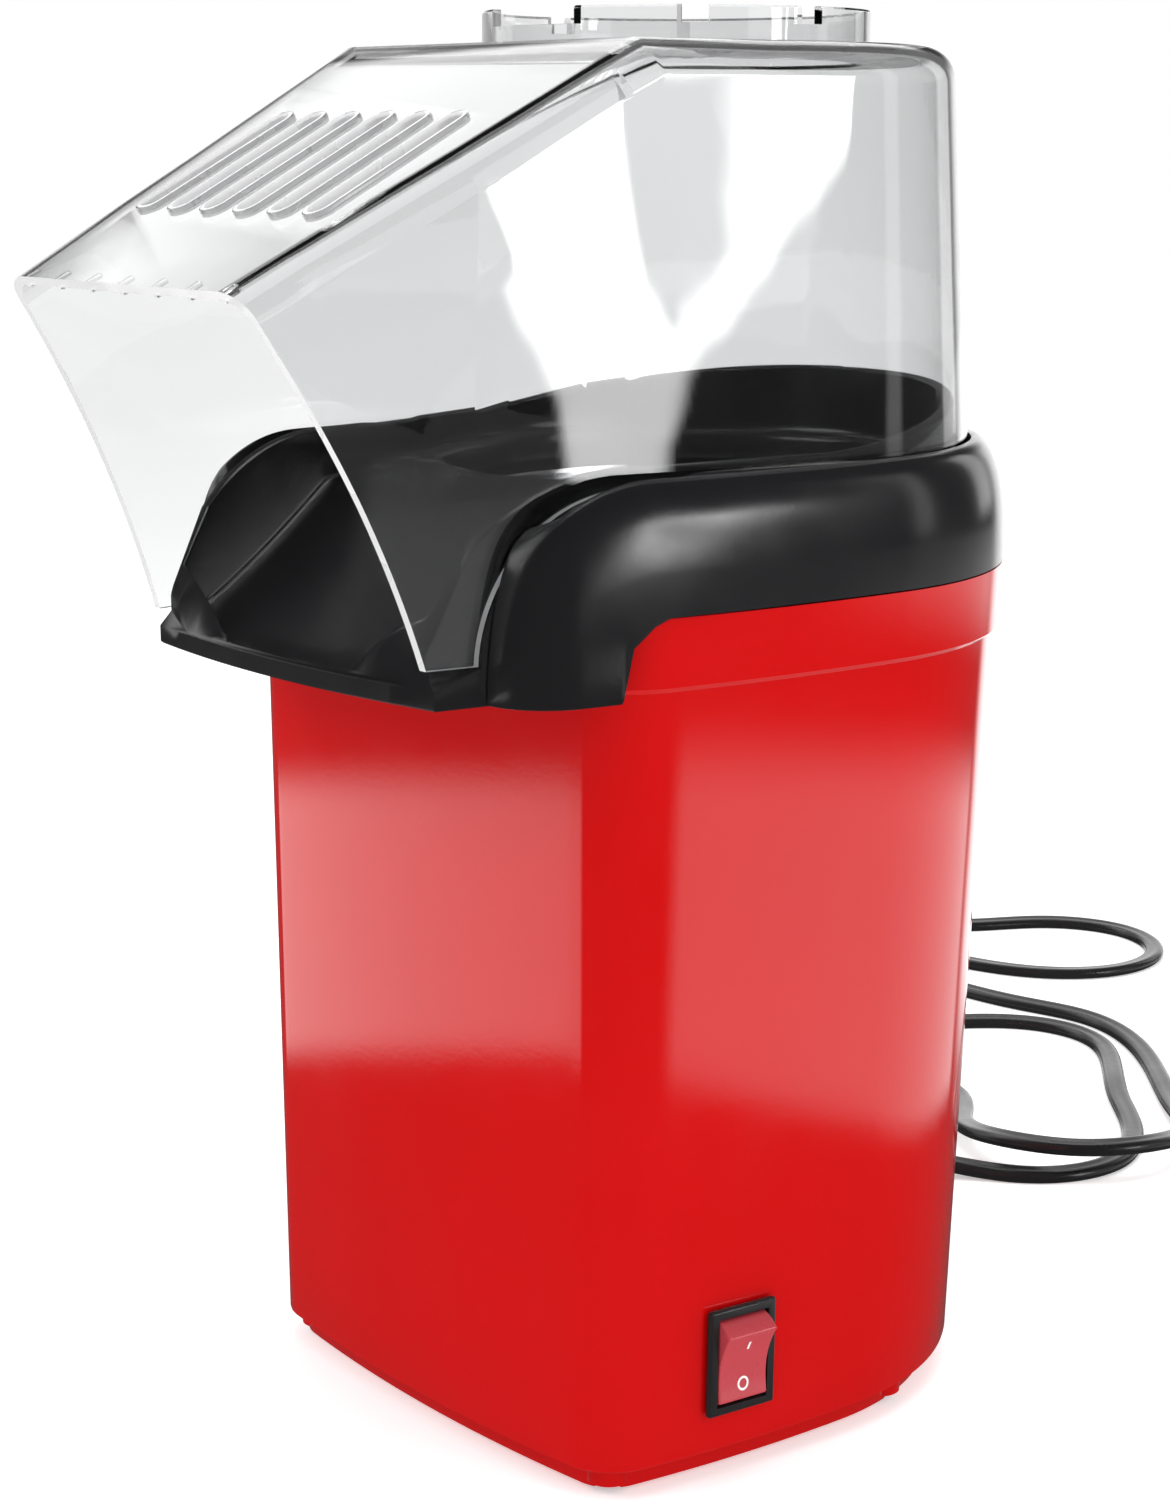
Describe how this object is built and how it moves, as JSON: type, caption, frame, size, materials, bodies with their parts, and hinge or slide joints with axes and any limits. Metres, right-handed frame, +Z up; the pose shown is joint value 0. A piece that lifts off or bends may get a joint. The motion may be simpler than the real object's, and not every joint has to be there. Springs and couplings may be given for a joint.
{
  "type": "popcorn maker",
  "caption": "Small hot-air popcorn maker: glossy moulded body, black collar with open chute, clear lift-off hood with slotted sloping roof, metal popping chamber, rocker switch and flat cord",
  "frame": {"origin": "centre of the footprint of the machine itself, without its cord, on the table under the rubber feet", "axes": "+Z up, -Y towards the front where the hood's mouth and the chute point, +X towards the side with the rocker switch"},
  "size_m": [0.3374, 0.4337, 0.2679],
  "materials": {
    "red_plastic": "high gloss",
    "black_plastic": "semi-gloss",
    "clear_plastic": "clear, polished",
    "rubber": "matt",
    "cord_sheath": "satin",
    "aluminium": "spun, bright",
    "steel": "zinc plated",
    "heater_wire": "oxidised",
    "brass": "satin",
    "mica": "laminate, matt",
    "heat_plastic": "matt",
    "board": "lacquered laminate",
    "rocker_red": "satin",
    "black_parts": "matt",
    "wire_white": "satin",
    "wire_red": "satin"
  },
  "bodies": {
    "body": {"base_cover": "red_plastic", "base_screw_1": "steel", "base_screw_2": "steel", "base_screw_3": "steel", "base_screw_4": "steel", "capacitor": "wire_red", "chute": "black_plastic", "diode_1": "black_parts", "diode_2": "black_parts", "diode_3": "black_parts", "diode_4": "black_parts", "fan_housing": "heat_plastic", "heat_shield": "aluminium", "heater_terminal_1": "steel", "heater_terminal_2": "steel", "heating_coil": "heater_wire", "insulating_ring": "mica", "lead_heater": "wire_white", "lead_live": "wire_red", "lead_motor": "wire_red", "lead_neutral": "wire_white", "mica_board_1": "mica", "mica_board_2": "mica", "motor_can": "steel", "motor_end_cap": "black_parts", "motor_screw_1": "steel", "motor_screw_2": "steel", "outer_shell": "red_plastic", "plug_blade_1": "brass", "plug_blade_2": "brass", "plug_body": "black_parts", "popping_chamber": "aluminium", "power_cord": "cord_sheath", "rectifier_board": "board", "rubber_foot_1": "rubber", "rubber_foot_2": "rubber", "rubber_foot_3": "rubber", "rubber_foot_4": "rubber", "strain_relief": "rubber", "switch_body": "black_parts", "switch_terminal_1": "brass", "switch_terminal_2": "brass", "thermal_fuse": "brass", "thermostat": "steel", "top_collar": "black_plastic"},
    "hood": {"hood": "clear_plastic"},
    "rocker": {"rocker": "rocker_red"},
    "fan": {"impeller": "black_parts", "motor_shaft": "steel"}
  },
  "joints": [
    {"name": "hood_lift", "type": "slide", "parent": "body", "child": "hood", "axis": [0, 0, 1], "range_m": [0, 0.12]},
    {"name": "rocker_pivot", "type": "hinge", "parent": "body", "child": "rocker", "pos_m": [0.05692, -0.00384, 0.02402], "axis": [0.1101, 0.9939, 0], "range_deg": [-22, 0]},
    {"name": "fan_spin", "type": "hinge", "parent": "body", "child": "fan", "pos_m": [0, 0.02975, 0.059], "axis": [0, 0, 1], "continuous": true}
  ]
}
